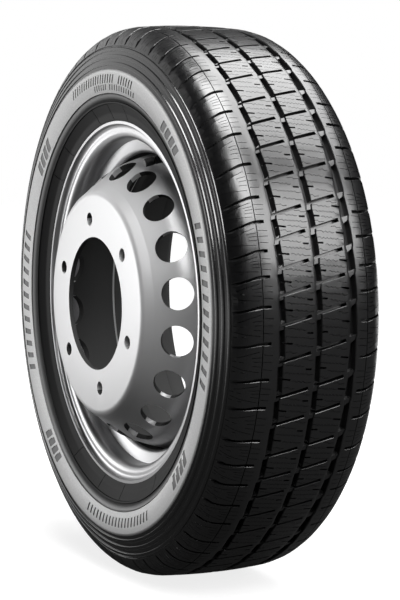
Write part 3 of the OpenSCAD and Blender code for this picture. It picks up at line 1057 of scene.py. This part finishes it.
def camera_turn():
    """The camera's turn: its Z points from the wheel back to it, and its X to the right."""
    back = Vector((
        math.sin(CAMERA_TURN) * math.cos(CAMERA_RISE), -math.cos(CAMERA_TURN) * math.cos(CAMERA_RISE),
        math.sin(CAMERA_RISE)))
    right = Vector((0, 0, 1)).cross(back).normalized()
    return Matrix((right, back.cross(right), back)).transposed().to_4x4()


def lamp(name, way, distance, size, level):
    """A soft box that shines from a direction onto the wheel; the level is its brightness."""
    data = bpy.data.lights.new(name, "AREA")
    data.shape = "RECTANGLE"
    data.size, data.size_y = size
    data.energy = level * math.pi * size[0] * size[1]
    obj = linked(name, data)
    way = Vector(way).normalized()
    obj.location = Vector((0, MIDDLE * MM, 0)) + way * distance
    obj.rotation_euler = way.to_track_quat("Z", "Y").to_euler()


def seen_share(tree, in_metal):
    """Full strength for the camera and through glass, and a share of it in reflections."""
    path = add(tree, "ShaderNodeLightPath").outputs
    direct = combined(tree, "MAXIMUM", path["Is Camera Ray"], path["Is Transmission Ray"])
    glossy = combined(tree, "MULTIPLY", path["Is Glossy Ray"], in_metal)
    return combined(tree, "MAXIMUM", direct, glossy)


def floor_material():
    """A pale matt floor that looks white, keeps a soft shadow and meets the backdrop unseen."""
    settings = bpy.context.scene.stage_settings
    material, tree, shader = new_material("floor")
    path = add(tree, "ShaderNodeLightPath")
    colour = mixed_colour(tree, path.outputs["Is Camera Ray"], DARK_FLOOR, settings.floor)
    tree.links.new(colour, shader.inputs["Base Color"])
    shader.inputs["Roughness"].default_value = 0.9
    shader.inputs["Specular IOR Level"].default_value = 0.0
    place = add(tree, "ShaderNodeTexCoord").outputs["Object"]
    glow = ramp(tree, vector_length(tree, place), *GLOW_EDGE, settings.glow, 1.0)
    split = add(tree, "ShaderNodeSeparateXYZ")
    tree.links.new(place, split.inputs[0])
    behind = ramp(tree, split.outputs["X"], *BEHIND_EDGE, SEEN_BEFORE, 1.0)
    shader.inputs["Emission Color"].default_value = (1, 1, 1, 1)
    level = combined(tree, "MULTIPLY", seen_share(tree, behind), glow)
    tree.links.new(level, shader.inputs["Emission Strength"])
    return material


def background(tree, strength):
    node = add(tree, "ShaderNodeBackground")
    node.inputs["Color"].default_value = (1, 1, 1, 1)
    node.inputs["Strength"].default_value = strength
    return node.outputs[0]


def light_room(world, strength):
    """A white background that reflections see behind the wheel, and a dim room elsewhere."""
    world.use_nodes = True
    tree = world.node_tree
    tree.nodes.clear()
    out = add(tree, "ShaderNodeOutputWorld")
    place = add(tree, "ShaderNodeTexCoord")
    facing = add(tree, "ShaderNodeVectorMath", operation="DOT_PRODUCT")
    facing.inputs[1].default_value = BACKGROUND_WAY
    tree.links.new(place.outputs["Generated"], facing.inputs[0])
    behind = ramp(tree, facing.outputs["Value"], *BACKGROUND_EDGE, form="SMOOTHSTEP")
    mix = add(tree, "ShaderNodeMixShader")
    tree.links.new(seen_share(tree, behind), mix.inputs[0])
    tree.links.new(background(tree, strength), mix.inputs[1])
    tree.links.new(background(tree, 1.0), mix.inputs[2])
    tree.links.new(mix.outputs[0], out.inputs[0])


def set_camera(scene):
    data = bpy.data.cameras.new("camera")
    data.lens = CAMERA_LENS
    data.sensor_width = CAMERA_SENSOR
    data.clip_end = CAMERA_FAR
    scene.camera = linked("camera", data)
    scene.camera.matrix_world = Matrix.Translation(CAMERA_PLACE) @ camera_turn()


class MakeStage(bpy.types.Operator):
    """Sets the floor, the room, the soft boxes and the camera"""
    bl_idname = "van_wheel.make_stage"
    bl_label = "Stage"

    def execute(self, context):
        scene = context.scene
        settings = scene.stage_settings
        bm = bmesh.new()
        bmesh.ops.create_grid(bm, x_segments=1, y_segments=1, size=FLOOR_HALF)
        bmesh.ops.translate(bm, verts=bm.verts, vec=(0, 0, -TREAD_R * MM - FLOOR_GAP))
        piece("floor", bm, floor_material())
        for name, (way, distance, size) in LAMPS.items():
            lamp(name, way, distance, size, getattr(settings, name))
        scene.world = scene.world or bpy.data.worlds.new("World")
        light_room(scene.world, settings.room)
        set_camera(scene)
        scene.view_settings.view_transform = "Standard"
        return {"FINISHED"}


class VanWheelPanel(bpy.types.Panel):
    """Lists the pieces of the van wheel and their settings"""
    bl_idname = "VIEW3D_PT_van_wheel"
    bl_label = "Van wheel"
    bl_space_type = "VIEW_3D"
    bl_region_type = "UI"
    bl_category = "Van wheel"

    def draw(self, context):
        layout = self.layout
        for group in GROUPS:
            settings = getattr(context.scene, group)
            for name in settings.__annotations__:
                layout.prop(settings, name)
        for operator in STEPS:
            layout.operator(operator.bl_idname)


STEPS = (MakeStage, MakeTyre, MakeRim, MakeDisc, MakeSpring, FinishNodes)
GROUPS = {"tyre_settings": TyreSettings, "wheel_settings": WheelSettings, "stage_settings": StageSettings}


def register():
    for group in GROUPS.values():
        bpy.utils.register_class(group)
    for name, group in GROUPS.items():
        setattr(bpy.types.Scene, name, bpy.props.PointerProperty(type=group))
    for operator in STEPS:
        bpy.utils.register_class(operator)
    bpy.utils.register_class(VanWheelPanel)


def unregister():
    bpy.utils.unregister_class(VanWheelPanel)
    for operator in reversed(STEPS):
        bpy.utils.unregister_class(operator)
    for name in GROUPS:
        delattr(bpy.types.Scene, name)
    for group in reversed(list(GROUPS.values())):
        bpy.utils.unregister_class(group)


def main():
    register()
    for operator in STEPS:
        group, name = operator.bl_idname.split(".")
        getattr(getattr(bpy.ops, group), name)()


if __name__ == "__main__":
    main()
